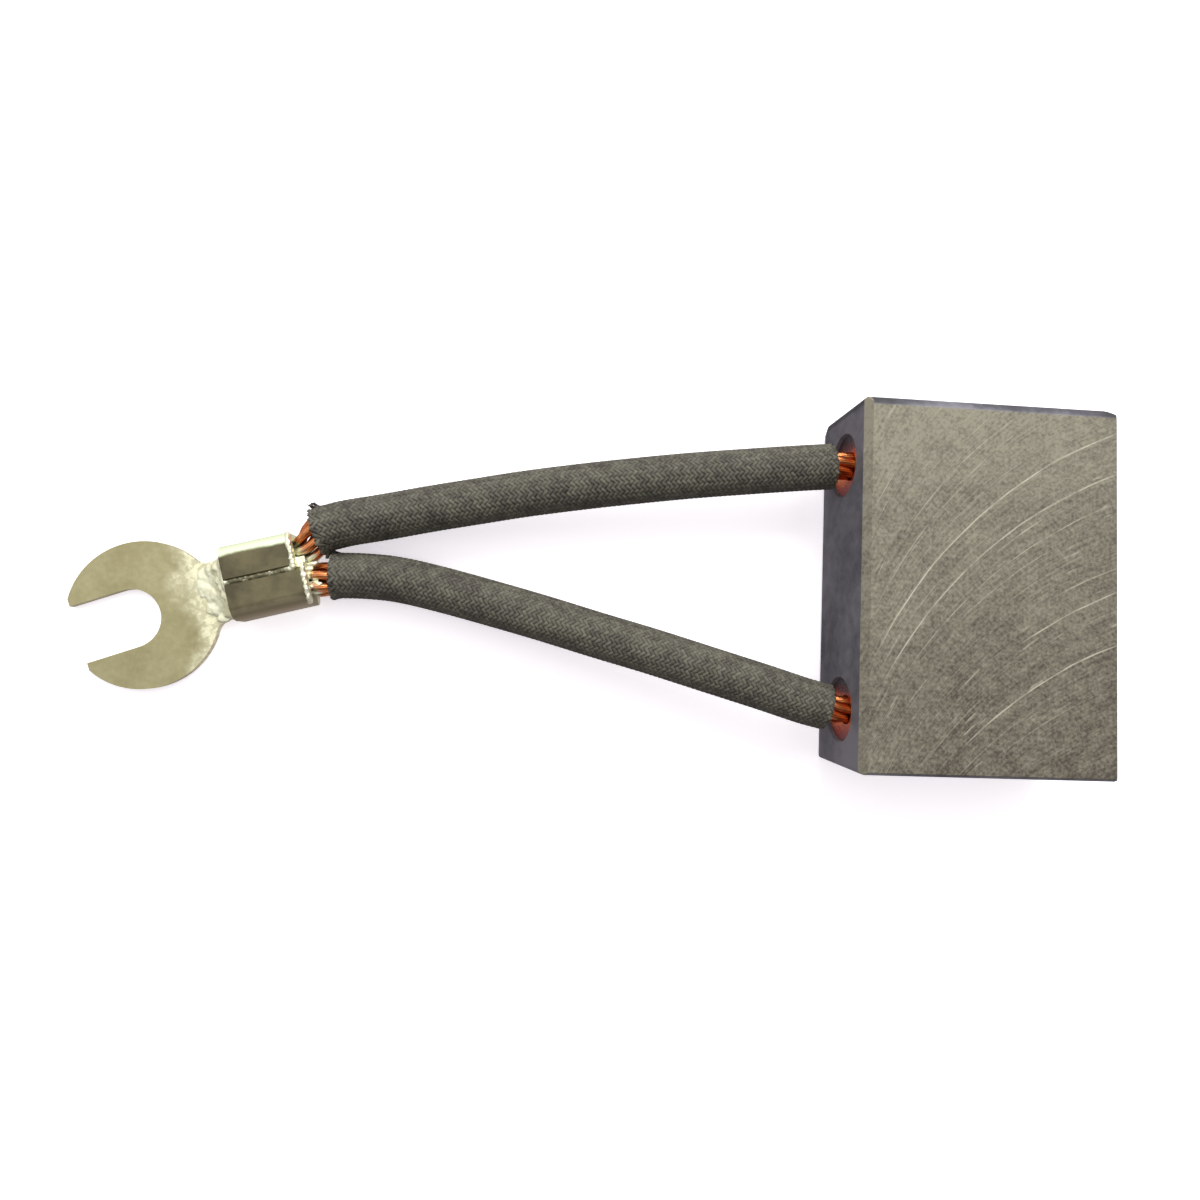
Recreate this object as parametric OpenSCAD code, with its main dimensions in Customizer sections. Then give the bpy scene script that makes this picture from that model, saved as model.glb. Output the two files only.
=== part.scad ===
// Carbon brush for an electric motor: a metal-graphite block, two copper rope
// shunts in braided sleeves, and one fork terminal crimped and soldered on both.
//
// Frame: the block lies flat. The origin is the middle of its lower face, +X points
// to the running face, +Y runs along its width and +Z is its thickness. The shunts
// leave through the -X face, and the terminal lies on the same plane as the block.

/* [Carbon block] */
// Length from the shunt face to the running face
block_length = 22.5; // [18:0.5:40]
// Width across the commutator
block_width = 32; // [28:0.5:50]
// Thickness
block_thickness = 10; // [8:0.5:16]
// Bevel of the upper edge at the shunt face
shunt_edge_bevel = 0.6; // [0.1:0.1:1]
// Bevel of the upper edge on the +Y side
side_edge_bevel = 0.5; // [0.1:0.1:1]
// Bevel of the lower edge on the +Y side, which keys the block in its holder
key_bevel = 1.2; // [0.3:0.1:2]
// Bevel that breaks every other long edge
edge_break = 0.25; // [0.1:0.05:0.6]
// Radius of the upright corner at the running face, +Y side
worn_corner_radius = 1.1; // [0.3:0.1:2]
// Radius of the other upright corners
corner_radius = 0.4; // [0.2:0.1:1]

/* [Shunt holes] */
// Distance from each hole axis to the side of the block next to it
hole_edge_distance = 5; // [4.5:0.5:8]
// Bore
hole_diameter = 5; // [4:0.1:6]
// Depth of the straight bore
hole_depth = 12; // [11:0.5:14]
// Diameter of the flared mouth at the shunt face
flare_diameter = 5.8; // [5.1:0.1:7.5]
// Depth of the flare
flare_depth = 1; // [0.3:0.1:2]
// Point angle of the drill
drill_point_angle = 118; // [90:1:140]

/* [Tamping] */
// How far the packed powder stays below the shunt face at the wall of the hole
tamping_recess = 0.3; // [0.1:0.1:3]
// How much deeper it is dished where it meets the rope
tamping_dish = 0.3; // [0:0.1:1]
// How deep the rope reaches into the block
rope_seat_depth = 10; // [8:0.5:10]

/* [Rope and sleeve] */
// Diameter of the copper rope
rope_diameter = 2.5; // [2:0.1:2.6]
// Outer diameter of the braided sleeve
sleeve_diameter = 4.2; // [4:0.1:4.2]
// Wall of the sleeve
sleeve_wall = 0.45; // [0.2:0.05:0.45]

/* [Fork terminal] */
// Thickness of the sheet
sheet = 0.75; // [0.5:0.05:1]
// Width over the two tines
fork_width = 13.3; // [11:0.1:18]
// Width of the open slot, for an M5 stud
slot_width = 5.3; // [4.3:0.1:6.5]
// How far the round end of the slot lies in front of the middle of the fork
slot_setback = 1.1; // [0:0.1:2]
// Distance from the slot's round end centre to the cut tips of the tines
tine_reach = 4.65; // [4:0.05:5.5]
// Width of the neck
neck_width = 5.4; // [4:0.1:6]
// Radius between fork and neck
neck_fillet = 1.5; // [0.5:0.1:2]
// Distance from the slot's round end centre to where the neck is bent sideways
neck_bend_place = 8.5; // [8.5:0.1:9.5]
// Angle of that bend, which the crimping has left in the neck
neck_bend = -5; // [-8:1:8]

/* [Crimp barrel] */
// Distance from the slot's round end centre to the front of the barrel
barrel_start = 9.8; // [9.7:0.1:12]
// Length of the barrel
barrel_length = 6.6; // [4:0.1:6.6]
// Inner bend radius of the folded sheet
bend_radius = 0.4; // [0.2:0.1:0.8]
// How much shorter the ear on the +Y side is at the mouth
short_ear_setback = 0.7; // [0:0.1:1.5]
// Slit left between the two folded ears
ear_gap = 0.12; // [0.05:0.01:0.3]
// Width of the groove that the rounded ear edges leave along the slit
ear_groove = 0.6; // [0.2:0.1:1]

/* [Solder] */
// How far the solder runs out on the neck in front of the barrel
front_run_out = 3.2; // [1:0.1:3.4]
// How high it stands against the front of the barrel
front_rise = 2.9; // [1:0.1:3.3]
// How far it is drawn into each end of the barrel
solder_depth = 1.8; // [0.5:0.1:3]
// Radius of the bead along the mouth
bead_radius = 0.35; // [0.2:0.05:0.5]

/* [Hidden] */

$fn = 48;

// Clearances between pieces that seat in each other
rope_clearance = 0.05;
fill_clearance = 0.02;

// Shunt face, and where the hole axes lie
shunt_face = -block_length / 2;
hole_height = block_thickness / 2;

// Where the terminal lies: the centre of the slot's round end, and its turn
terminal_place = [-74.7, -5.3];
terminal_turn = 20.5;

// Inside of the barrel: two ropes side by side
barrel_inner_width = 2 * rope_diameter + 4 * rope_clearance;
barrel_inner_height = rope_diameter + 2 * rope_clearance;
barrel_width = barrel_inner_width + 2 * sheet;
barrel_height = barrel_inner_height + 2 * sheet;
rope_offset = rope_diameter / 2 + rope_clearance;
rope_lift = sheet + barrel_inner_height / 2;

// Rope routes, from the end in the block to the end in the barrel
rope_sides = 8;
upper_route = [
    [-1.25, 11, 5], [-6, 11, 5], [-10.5, 11, 5], [-12, 10.95, 5], [-15.2, 10.6, 4.95],
    [-20, 10.05, 4.85], [-25, 9.45, 4.7], [-30, 8.75, 4.5], [-35, 8, 4.2], [-40, 7.15, 3.9],
    [-44, 6.35, 3.65], [-48, 5.55, 3.35], [-52.5, 4.55, 3.1], [-54.6, 4.2, 3], [-56, 4, 3.05],
    [-57.1, 3.6, 2.9], [-58.1, 3, 2.7], [-58.65, 2.2, 2.4], [-59.2, 1.5, 2.15],
    [-59.8, 1.08, 2.05], [-60.45, 0.77, 2.05], [-65.7, -0.69, 2.05]];
lower_route = [
    [-1.25, -11, 5], [-6, -11, 5], [-10.5, -11, 5], [-12, -10.9, 5], [-14.6, -10.3, 5],
    [-18, -9.3, 4.9], [-23, -7.9, 4.6], [-28, -6.5, 4.25], [-33, -5.2, 3.9],
    [-38, -3.85, 3.45], [-43, -2.6, 3], [-47.5, -1.55, 2.6], [-51, -0.9, 2.4],
    [-54, -0.7, 2.2], [-56, -0.8, 2.1], [-57.5, -1.12, 2.05], [-58.75, -1.46, 2.05],
    [-65, -3.19, 2.05]];

// Sleeve routes: loose on the ropes, straighter than them at the terminal end
sleeve_sides = 12;
upper_sleeve_route = [
    [-11.75, 10.95, 5], [-15.2, 10.6, 4.95], [-20, 10.05, 4.85], [-25, 9.45, 4.7],
    [-30, 8.75, 4.5], [-35, 8, 4.2], [-40, 7.15, 3.9], [-44, 6.35, 3.65], [-48, 5.55, 3.35],
    [-52.5, 4.55, 3.1], [-55.4, 3.95, 2.95], [-57, 3.5, 2.85], [-58, 3.2, 2.75]];
lower_sleeve_route = [
    [-12, -10.9, 5], [-14.6, -10.3, 5], [-18, -9.3, 4.9], [-23, -7.9, 4.6],
    [-28, -6.5, 4.25], [-33, -5.2, 3.9], [-38, -3.85, 3.45], [-43, -2.6, 3],
    [-47.5, -1.55, 2.6], [-51, -0.9, 2.4], [-54, -0.7, 2.15], [-56.7, -0.75, 2.1]];

// ---- Tubes swept along a route ----

function unit(v) = v / norm(v);

// Direction of the route at point i, halfway between its two stretches
function heading(route, i) =
    let (last = len(route) - 1)
    i == 0 ? unit(route[1] - route[0])
    : i == last ? unit(route[last] - route[last - 1])
    : unit(unit(route[i + 1] - route[i]) + unit(route[i] - route[i - 1]));

// One ring of points round point i of the route, square to it
function ring(route, i, radius, sides) =
    let (along = heading(route, i),
         across = unit(cross([0, 0, 1], along)),
         up = cross(along, across))
    [for (k = [0:sides - 1])
        let (turn = 360 * (k + 0.5) / sides)
        route[i] + radius * (cos(turn) * across + sin(turn) * up)];

// Side faces between ring i and ring i + 1, for a wall seen from outside
function wall_faces(rings, sides, first) =
    [for (i = [0:rings - 2], k = [0:sides - 1])
        let (a = first + i * sides + k, b = first + i * sides + (k + 1) % sides)
        [a, a + sides, b + sides, b]];

// A solid round bar along the route
module swept_bar(route, diameter, sides) {
    rings = len(route);
    points = [for (i = [0:rings - 1]) each ring(route, i, diameter / 2, sides)];
    near_cap = [for (k = [0:sides - 1]) k];
    far_cap = [for (k = [sides - 1:-1:0]) (rings - 1) * sides + k];
    polyhedron(points, concat([near_cap], [far_cap], wall_faces(rings, sides, 0)));
}

// An open tube along the route: outer wall, inner wall and two ring-shaped ends
module swept_tube(route, diameter, wall, sides) {
    rings = len(route);
    outer = [for (i = [0:rings - 1]) each ring(route, i, diameter / 2, sides)];
    inner = [for (i = [0:rings - 1]) each ring(route, i, diameter / 2 - wall, sides)];
    shift = rings * sides;
    last = (rings - 1) * sides;
    inner_faces = [for (f = wall_faces(rings, sides, shift)) [f[3], f[2], f[1], f[0]]];
    near_end = [for (k = [0:sides - 1])
        let (n = (k + 1) % sides) [k, n, shift + n, shift + k]];
    far_end = [for (k = [0:sides - 1])
        let (n = (k + 1) % sides) [last + n, last + k, shift + last + k, shift + last + n]];
    polyhedron(concat(outer, inner),
               concat(wall_faces(rings, sides, 0), inner_faces, near_end, far_end));
}

// ---- Plane shapes ----

// Rectangle centred on the origin with a bevel of its own at each corner,
// in the order low left, low right, high right, high left
module bevelled_rectangle(size, bevels) {
    x = size[0] / 2;
    y = size[1] / 2;
    polygon([
        [-x + bevels[0], -y], [x - bevels[1], -y], [x, -y + bevels[1]], [x, y - bevels[2]],
        [x - bevels[2], y], [-x + bevels[3], y], [-x, y - bevels[3]], [-x, -y + bevels[0]]]);
}

// The same with a radius of its own at each corner
module rounded_rectangle(size, radii) {
    signs = [[-1, -1], [1, -1], [1, 1], [-1, 1]];
    bevelled_rectangle(size, radii);
    for (i = [0:3])
        translate([signs[i][0] * (size[0] / 2 - radii[i]), signs[i][1] * (size[1] / 2 - radii[i])])
            circle(r = radii[i]);
}

// ---- Carbon block ----

// The bare block: its plan, its end view and its side view cut each other
module block_blank() {
    size_over = 1;
    intersection() {
        linear_extrude(block_thickness)
            rounded_rectangle([block_length, block_width],
                              [corner_radius, corner_radius, worn_corner_radius, corner_radius]);
        translate([-block_length / 2 - size_over, 0, hole_height])
            rotate([90, 0, 90])
                linear_extrude(block_length + 2 * size_over)
                    bevelled_rectangle([block_width, block_thickness],
                                       [edge_break, key_bevel, side_edge_bevel, edge_break]);
        translate([0, block_width / 2 + size_over, hole_height])
            rotate([90, 0, 0])
                linear_extrude(block_width + 2 * size_over)
                    bevelled_rectangle([block_length, block_thickness],
                                       [edge_break, edge_break, edge_break, shunt_edge_bevel]);
    }
}

// Turns a shape that points along +Z into one hole's axis, on the side +1 or -1
module at_hole(side) {
    translate([shunt_face, side * (block_width / 2 - hole_edge_distance), hole_height])
        rotate([0, 90, 0])
            children();
}

// The drilled and flared hole, as a solid to take away
module shunt_hole() {
    bore = hole_diameter / 2;
    tip = bore / tan(drill_point_angle / 2);
    rotate_extrude()
        polygon([
            [0, -1], [flare_diameter / 2, -1], [flare_diameter / 2, 0], [bore, flare_depth],
            [bore, hole_depth], [0, hole_depth + tip]]);
}

module carbon_block() {
    color("#7f7a6c")
        difference() {
            block_blank();
            for (side = [-1, 1]) at_hole(side) shunt_hole();
        }
}

// Copper-bearing powder packed round the end of one rope
module tamping(side) {
    bore = hole_diameter / 2 - fill_clearance;
    mouth = bore + max(0, 1 - tamping_recess / flare_depth) * (flare_diameter - hole_diameter) / 2;
    flare_end = max(flare_depth, tamping_recess + fill_clearance);
    seat = rope_diameter / 2 + rope_clearance;
    tip = bore / tan(drill_point_angle / 2);
    seat_bottom = rope_seat_depth + rope_clearance;
    color("#8a4a2c")
        at_hole(side)
            rotate_extrude()
                polygon([
                    [seat, tamping_recess + tamping_dish], [mouth, tamping_recess],
                    [bore, flare_end], [bore, hole_depth], [0, hole_depth + tip],
                    [0, seat_bottom], [seat, seat_bottom]]);
}

module upper_tamping() { tamping(1); }
module lower_tamping() { tamping(-1); }

// ---- Shunts ----

module rope(route) {
    color("#b0683c") swept_bar(route, rope_diameter, rope_sides);
}

module sleeve(route) {
    color("#55524a") swept_tube(route, sleeve_diameter, sleeve_wall, sleeve_sides);
}

module upper_rope() { rope(upper_route); }
module lower_rope() { rope(lower_route); }
module upper_sleeve() { sleeve(upper_sleeve_route); }
module lower_sleeve() { sleeve(lower_sleeve_route); }

// ---- Fork terminal, in its own frame: slot end at the origin, barrel towards +X ----

// Puts a shape of the terminal's frame where the terminal lies
module at_terminal() {
    translate([terminal_place[0], terminal_place[1], 0])
        rotate([0, 0, terminal_turn])
            children();
}

// Turns a shape about the bend in the neck, so that it lines up with the barrel
module past_neck_bend() {
    translate([neck_bend_place, 0, 0])
        rotate([0, 0, neck_bend])
            translate([-neck_bend_place, 0, 0])
                children();
}

// Neck with its bend, from the middle of the fork into the barrel
module neck_outline() {
    half = neck_width / 2;
    mitre = half * tan(neck_bend / 2);
    reach = barrel_start + sheet - neck_bend_place;
    ends = [for (side = [-1, 1])
        [neck_bend_place + reach * cos(neck_bend) - side * half * sin(neck_bend),
         reach * sin(neck_bend) + side * half * cos(neck_bend)]];
    polygon([
        [slot_setback, -half], [neck_bend_place + mitre, -half], ends[0],
        ends[1], [neck_bend_place - mitre, half], [slot_setback, half]]);
}

// Flat fork and neck, with the concave fillets between them
module fork_outline() {
    fork_radius = fork_width / 2;
    fillet_y = neck_width / 2 + neck_fillet;
    fillet_x = slot_setback + sqrt(pow(fork_radius + neck_fillet, 2) - pow(fillet_y, 2));
    difference() {
        union() {
            translate([slot_setback, 0]) circle(r = fork_radius, $fn = 96);
            neck_outline();
            for (side = [-1, 1])
                difference() {
                    polygon([[slot_setback, 0], [fillet_x, side * fillet_y], [fillet_x, 0]]);
                    translate([fillet_x, side * fillet_y]) circle(r = neck_fillet);
                }
        }
        circle(r = slot_width / 2);
        translate([-fork_width, -slot_width / 2]) square([fork_width, slot_width]);
        translate([-tine_reach - fork_width, -fork_width / 2]) square([fork_width, fork_width]);
    }
}

// Cross-section of the folded barrel: floor, two walls and two ears that meet on top
module barrel_section() {
    outer = bend_radius + sheet;
    translate([0, barrel_height / 2])
        difference() {
            rounded_rectangle([barrel_width, barrel_height], [outer, outer, outer, outer]);
            barrel_hollow(0);
            translate([-ear_gap / 2, 0]) square([ear_gap, barrel_height]);
            translate([0, barrel_height / 2])
                polygon([[-ear_groove / 2, 0], [0, -ear_groove / 2], [ear_groove / 2, 0]]);
        }
}

// Inside of the barrel, less a gap all round, centred on the origin
module barrel_hollow(gap) {
    r = bend_radius;
    rounded_rectangle([barrel_inner_width - 2 * gap, barrel_inner_height - 2 * gap], [r, r, r, r]);
}

// Stretches a cross-section of the barrel along it, between two stations
module along_barrel(from, to) {
    translate([from, 0, 0]) rotate([90, 0, 90]) linear_extrude(to - from) children();
}

module fork_terminal() {
    barrel_end = barrel_start + barrel_length;
    color("#a89f80")
        at_terminal()
            difference() {
                union() {
                    linear_extrude(sheet) fork_outline();
                    past_neck_bend() along_barrel(barrel_start, barrel_end) barrel_section();
                }
                past_neck_bend()
                    translate([barrel_end - short_ear_setback, 0, sheet])
                        cube([short_ear_setback + 1, barrel_width, barrel_height]);
            }
}

// ---- Solder ----

// What fills the valley between the two ropes, under the ears
module valley_fill(from, to) {
    ceiling = sheet + barrel_inner_height - fill_clearance;
    floor_z = rope_lift + rope_diameter / 4;
    along_barrel(from, to)
        difference() {
            translate([-rope_diameter / 2, floor_z]) square([rope_diameter, ceiling - floor_z]);
            for (side = [-1, 1])
                translate([side * rope_offset, rope_lift])
                    circle(r = rope_diameter / 2 + fill_clearance);
        }
}

// Hollow fillet between the neck and the front of the barrel
module neck_fillet_solder() {
    toe = barrel_start - front_run_out;
    sweep = (pow(front_run_out, 2) + pow(front_rise, 2)) / (2 * front_rise);
    intersection() {
        translate([toe, neck_width / 2, sheet])
            rotate([90, 0, 0])
                linear_extrude(neck_width)
                    difference() {
                        square([front_run_out, front_rise]);
                        translate([0, sweep]) circle(r = sweep, $fn = 96);
                    }
        linear_extrude(barrel_height)
            union() {
                translate([toe + neck_width / 2, 0]) circle(r = neck_width / 2);
                translate([toe + neck_width / 2, -neck_width / 2])
                    square([front_run_out, neck_width]);
            }
    }
}

module front_solder() {
    color("#d4d3b4")
        at_terminal() past_neck_bend() {
            neck_fillet_solder();
            along_barrel(barrel_start, barrel_start + rope_clearance)
                translate([0, barrel_height / 2]) barrel_hollow(fill_clearance);
            valley_fill(barrel_start, barrel_start + solder_depth);
        }
}

// Bead along the end of one ear, from one place across the barrel to another
module ear_bead(ear_end, from, to) {
    outer = bend_radius + sheet;
    intersection() {
        translate([ear_end, to, barrel_height - sheet / 2])
            rotate([90, 0, 0])
                linear_extrude(to - from)
                    intersection() {
                        circle(r = bead_radius);
                        translate([0, -bead_radius]) square([bead_radius, 2 * bead_radius]);
                    }
        along_barrel(ear_end, ear_end + bead_radius)
            translate([0, barrel_height / 2])
                rounded_rectangle([barrel_width, barrel_height], [outer, outer, outer, outer]);
    }
}

module mouth_solder() {
    long_end = barrel_start + barrel_length;
    short_end = long_end - short_ear_setback;
    front = long_end + bead_radius;
    ceiling = sheet + barrel_inner_height - fill_clearance;
    color("#dcdcc4")
        at_terminal() past_neck_bend() {
            valley_fill(short_end - solder_depth, front);
            ear_bead(short_end, 0, barrel_width / 2);
            ear_bead(long_end, -barrel_width / 2, bead_radius);
            translate([short_end, 0, ceiling - bead_radius / 2])
                cube([front - short_end, bead_radius, (sheet + bead_radius) / 2]);
        }
}

carbon_block();
upper_tamping();
lower_tamping();
upper_rope();
lower_rope();
upper_sleeve();
lower_sleeve();
fork_terminal();
front_solder();
mouth_solder();
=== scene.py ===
# %% [markdown]
# # A carbon brush with two sleeved shunts and one fork terminal
#
# The CAD frame gives every size and place of this motor brush. This lesson dresses it: the block
# gets its ground face, the copper ropes their strands, the sleeves their braid, and the terminal
# its tin and solder. Each step says first what the real thing is, and then how it is made here.

# %% Load the frame
import math

import bmesh
import bpy
import numpy as np
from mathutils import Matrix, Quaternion, Vector, noise


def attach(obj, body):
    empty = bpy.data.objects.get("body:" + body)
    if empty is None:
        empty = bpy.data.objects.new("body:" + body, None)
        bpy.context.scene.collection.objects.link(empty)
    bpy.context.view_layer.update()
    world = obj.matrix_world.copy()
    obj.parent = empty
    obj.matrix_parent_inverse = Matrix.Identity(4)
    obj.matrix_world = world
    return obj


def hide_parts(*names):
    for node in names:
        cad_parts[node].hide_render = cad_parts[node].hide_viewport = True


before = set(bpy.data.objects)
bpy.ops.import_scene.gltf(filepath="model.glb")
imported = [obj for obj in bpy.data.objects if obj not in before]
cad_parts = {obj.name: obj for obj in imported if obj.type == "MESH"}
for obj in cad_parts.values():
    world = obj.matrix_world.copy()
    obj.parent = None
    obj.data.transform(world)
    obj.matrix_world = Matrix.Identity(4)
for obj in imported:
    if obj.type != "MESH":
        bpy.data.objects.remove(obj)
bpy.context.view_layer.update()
scene = bpy.context.scene
print("CAD nodes:", ", ".join(sorted(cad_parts)))

# %% [markdown]
# ## Camera
#
# The brush lies flat and is seen from almost straight above, from 70 mm away, so the shunt face
# of the block shows beside its upper face. A short lens close by gives that, and a longer lens
# further off would hide that face.

# %% Camera
camera_data = bpy.data.cameras.new("camera")
camera_data.lens = 22.97
camera_data.clip_start = 0.005
camera = bpy.data.objects.new("camera", camera_data)
camera.location = (-0.037672, -0.006088, 0.0721)
camera.rotation_euler = [math.radians(turn) for turn in (3.219, -4.135, 2.17)]
scene.collection.objects.link(camera)
scene.camera = camera

# %% [markdown]
# ## Small helpers for nodes
#
# Materials and Geometry Nodes are both trees of nodes, so one function that adds a node serves
# for both. A second one turns a colour that is written as on a screen, in sRGB, into the linear
# numbers that the shader works with. A third one fills in the stops of a colour ramp with it.

# %% Helpers for nodes
MATH, VECTOR_MATH = "ShaderNodeMath", "ShaderNodeVectorMath"
RANGE, RAMP = "ShaderNodeMapRange", "ShaderNodeValToRGB"
NOISE, MIX = "ShaderNodeTexNoise", "ShaderNodeMix"


def add(tree, kind, *values, out=0, sockets=None, **settings):
    """Adds a node and returns its output. The settings come first, then each value or link
    goes into the sockets in use, in order (None leaves one as it is) or by name."""
    made = tree.nodes.new(kind)
    for name, value in settings.items():
        setattr(made, name, value)
    in_use = [socket for socket in made.inputs if socket.enabled]
    pairs = list(zip(in_use, values))
    for name, value in (sockets or {}).items():
        pairs.append((next(s for s in in_use if s.name == name), value))
    for socket, value in pairs:
        if isinstance(value, bpy.types.NodeSocket):
            tree.links.new(value, socket)
        elif value is not None:
            socket.default_value = value
    if out is None:
        return made
    outputs = [socket for socket in made.outputs if socket.enabled]
    return outputs[out] if isinstance(out, int) else next(s for s in outputs if s.name == out)


def linear(colour):
    """An sRGB hex colour as linear red, green, blue and alpha."""
    parts = [int(colour[i:i + 2], 16) / 255 for i in (1, 3, 5)]
    return [p / 12.92 if p <= 0.04045 else ((p + 0.055) / 1.055) ** 2.4 for p in parts] + [1.0]


def set_stops(ramp_node, first, last, *between):
    """Gives a colour ramp its stops, each a position from 0 to 1 and an sRGB hex colour."""
    elements = ramp_node.color_ramp.elements
    for element, (position, colour) in zip(elements, (first, last)):
        element.position, element.color = position, linear(colour)
    for position, colour in between:
        elements.new(position).color = linear(colour)


# %% [markdown]
# ## A rule for whatever is laid round a path
#
# A rope is six strands that turn round a seventh. A braided sleeve is yarns that turn both ways
# and pass over two and under two of the others. Both follow one rule: a yarn is a helix round
# the path, and in a braid its height goes up and down at each crossing. Drawing them by hand
# would be hopeless, and a picture of a braid has no edge in the light. So one Geometry Nodes
# tree places the points of all the yarns by that rule, joins them to curves and gives the
# curves a profile.

# %% Tree that lays yarns round a path
INPUTS = [
    ("Yarns", "Int", 6), ("Steps", "Int", 100), ("Turns", "Float", 3.0),
    ("Both ways", "Bool", False), ("Radius", "Float", 0.001), ("Weave", "Float", 0.0),
    ("Half thickness", "Float", 0.0004), ("Half width", "Float", 0.0004),
    ("Sides", "Int", 12), ("Wires", "Int", 12), ("Wire depth", "Float", 0.0),
    ("Wire turns", "Float", 0.0), ("Core radius", "Float", 0.0004),
    ("Bulge", "Float", 0.0), ("Bulge from", "Float", 0.9), ("Bulge to", "Float", 1.0),
    ("Fray", "Float", 0.0), ("Fray from", "Float", 0.98),
    ("Yarn material", "Material", None), ("Core material", "Material", None)]


def yarns_round_a_path():
    tree = bpy.data.node_groups.new("yarns round a path", "GeometryNodeTree")
    tree.interface.new_socket("Path", in_out="INPUT", socket_type="NodeSocketGeometry")
    for name, kind, start in INPUTS:
        socket = tree.interface.new_socket(
            name, in_out="INPUT", socket_type="NodeSocket" + kind)
        if start is not None:
            socket.default_value = start
    tree.interface.new_socket("Mesh", in_out="OUTPUT", socket_type="NodeSocketGeometry")
    given = add(tree, "NodeGroupInput", out=None).outputs

    # The path, rounded off through its points
    smooth = add(tree, "GeometryNodeCurveSplineType", given["Path"], spline_type="CATMULL_ROM")
    path = add(tree, "GeometryNodeResampleCurve", smooth, mode="COUNT",
               sockets={"Count": given["Steps"]})

    # Which yarn and which step along it a point belongs to
    total = add(tree, MATH, given["Yarns"], given["Steps"], operation="MULTIPLY")
    points = add(tree, "GeometryNodePoints", total)
    index = add(tree, "GeometryNodeInputIndex")
    yarn = add(tree, MATH, index, given["Steps"], operation="DIVIDE")
    yarn = add(tree, MATH, yarn, operation="FLOOR")
    step = add(tree, MATH, index, given["Steps"], operation="MODULO")
    last = add(tree, MATH, given["Steps"], 1.0, operation="SUBTRACT")
    along = add(tree, MATH, step, last, operation="DIVIDE")

    # Every second yarn turns the other way in a braid
    ways = add(tree, MATH, given["Both ways"], 1.0, operation="ADD")
    place = add(tree, MATH, yarn, ways, operation="DIVIDE")
    place = add(tree, MATH, place, operation="FLOOR")
    per_way = add(tree, MATH, given["Yarns"], ways, operation="DIVIDE")
    odd = add(tree, MATH, yarn, ways, operation="MODULO")
    way = add(tree, MATH, odd, -2.0, 1.0, operation="MULTIPLY_ADD")

    # Angle round the path
    start = add(tree, MATH, place, per_way, operation="DIVIDE")
    travel = add(tree, MATH, given["Turns"], along, operation="MULTIPLY")
    travel = add(tree, MATH, travel, way, operation="MULTIPLY")
    angle = add(tree, MATH, start, travel, operation="ADD")
    angle = add(tree, MATH, angle, 2 * math.pi, operation="MULTIPLY")

    # Height above the middle of the wall: over two, under two
    crossing = add(tree, MATH, step, way, operation="MULTIPLY")
    beat = add(tree, MATH, place, 2.0, crossing, operation="MULTIPLY_ADD")
    swing = add(tree, MATH, beat, math.pi / 2, -math.pi / 4, operation="MULTIPLY_ADD")
    swing = add(tree, MATH, swing, operation="COSINE")
    rise = add(tree, MATH, swing, way, operation="MULTIPLY")
    rise = add(tree, MATH, rise, given["Weave"], operation="MULTIPLY")
    radius = add(tree, MATH, rise, given["Radius"], operation="ADD")

    # The strands of a rope stand apart where nothing holds them, and cut yarns splay at the end
    bow = add(tree, RANGE, along, given["Bulge from"], given["Bulge to"], 0.0, math.pi)
    bow = add(tree, MATH, bow, operation="SINE")
    radius = add(tree, MATH, bow, given["Bulge"], radius, operation="MULTIPLY_ADD")
    splay = add(tree, RANGE, along, given["Fray from"], 1.0)
    splay = add(tree, MATH, splay, 2.0, operation="POWER")
    chance = add(tree, "FunctionNodeRandomValue", 0.1, 1.0, yarn, 5, data_type="FLOAT")
    splay = add(tree, MATH, splay, chance, operation="MULTIPLY")
    radius = add(tree, MATH, splay, given["Fray"], radius, operation="MULTIPLY_ADD")

    # The point itself, square to the path
    on_path = add(tree, "GeometryNodeSampleCurve", path, mode="FACTOR", out=None,
                  sockets={"Factor": along}).outputs
    side = add(tree, VECTOR_MATH, on_path["Tangent"], on_path["Normal"],
               operation="CROSS_PRODUCT")
    cosine = add(tree, MATH, angle, operation="COSINE")
    sine = add(tree, MATH, angle, operation="SINE")
    one = add(tree, VECTOR_MATH, on_path["Normal"], operation="SCALE", sockets={"Scale": cosine})
    two = add(tree, VECTOR_MATH, side, operation="SCALE", sockets={"Scale": sine})
    outward = add(tree, VECTOR_MATH, one, two, operation="ADD")
    offset = add(tree, VECTOR_MATH, outward, operation="SCALE", sockets={"Scale": radius})
    where = add(tree, VECTOR_MATH, on_path["Position"], offset, operation="ADD")

    # The profile's own turn, which is the lay of the wires in a strand
    turn = add(tree, MATH, given["Wire turns"], along, operation="MULTIPLY")
    turn = add(tree, MATH, turn, 2 * math.pi, operation="MULTIPLY")
    up = add(tree, "ShaderNodeVectorRotate", outward, None, on_path["Tangent"], turn,
             rotation_type="AXIS_ANGLE")
    placed = add(tree, "GeometryNodeSetPosition", points, sockets={"Position": where})
    for name, kind, value in (("up", "FLOAT_VECTOR", up), ("along", "FLOAT", along),
                              ("yarn", "FLOAT", yarn)):
        placed = add(tree, "GeometryNodeStoreNamedAttribute", placed, data_type=kind,
                     domain="POINT", sockets={"Name": name, "Value": value})
    curves = add(tree, "GeometryNodePointsToCurves", placed, yarn, step)
    named_up = add(tree, "GeometryNodeInputNamedAttribute", "up", data_type="FLOAT_VECTOR")
    curves = add(tree, "GeometryNodeSetCurveNormal", curves, mode="FREE",
                 sockets={"Normal": named_up})

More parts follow.
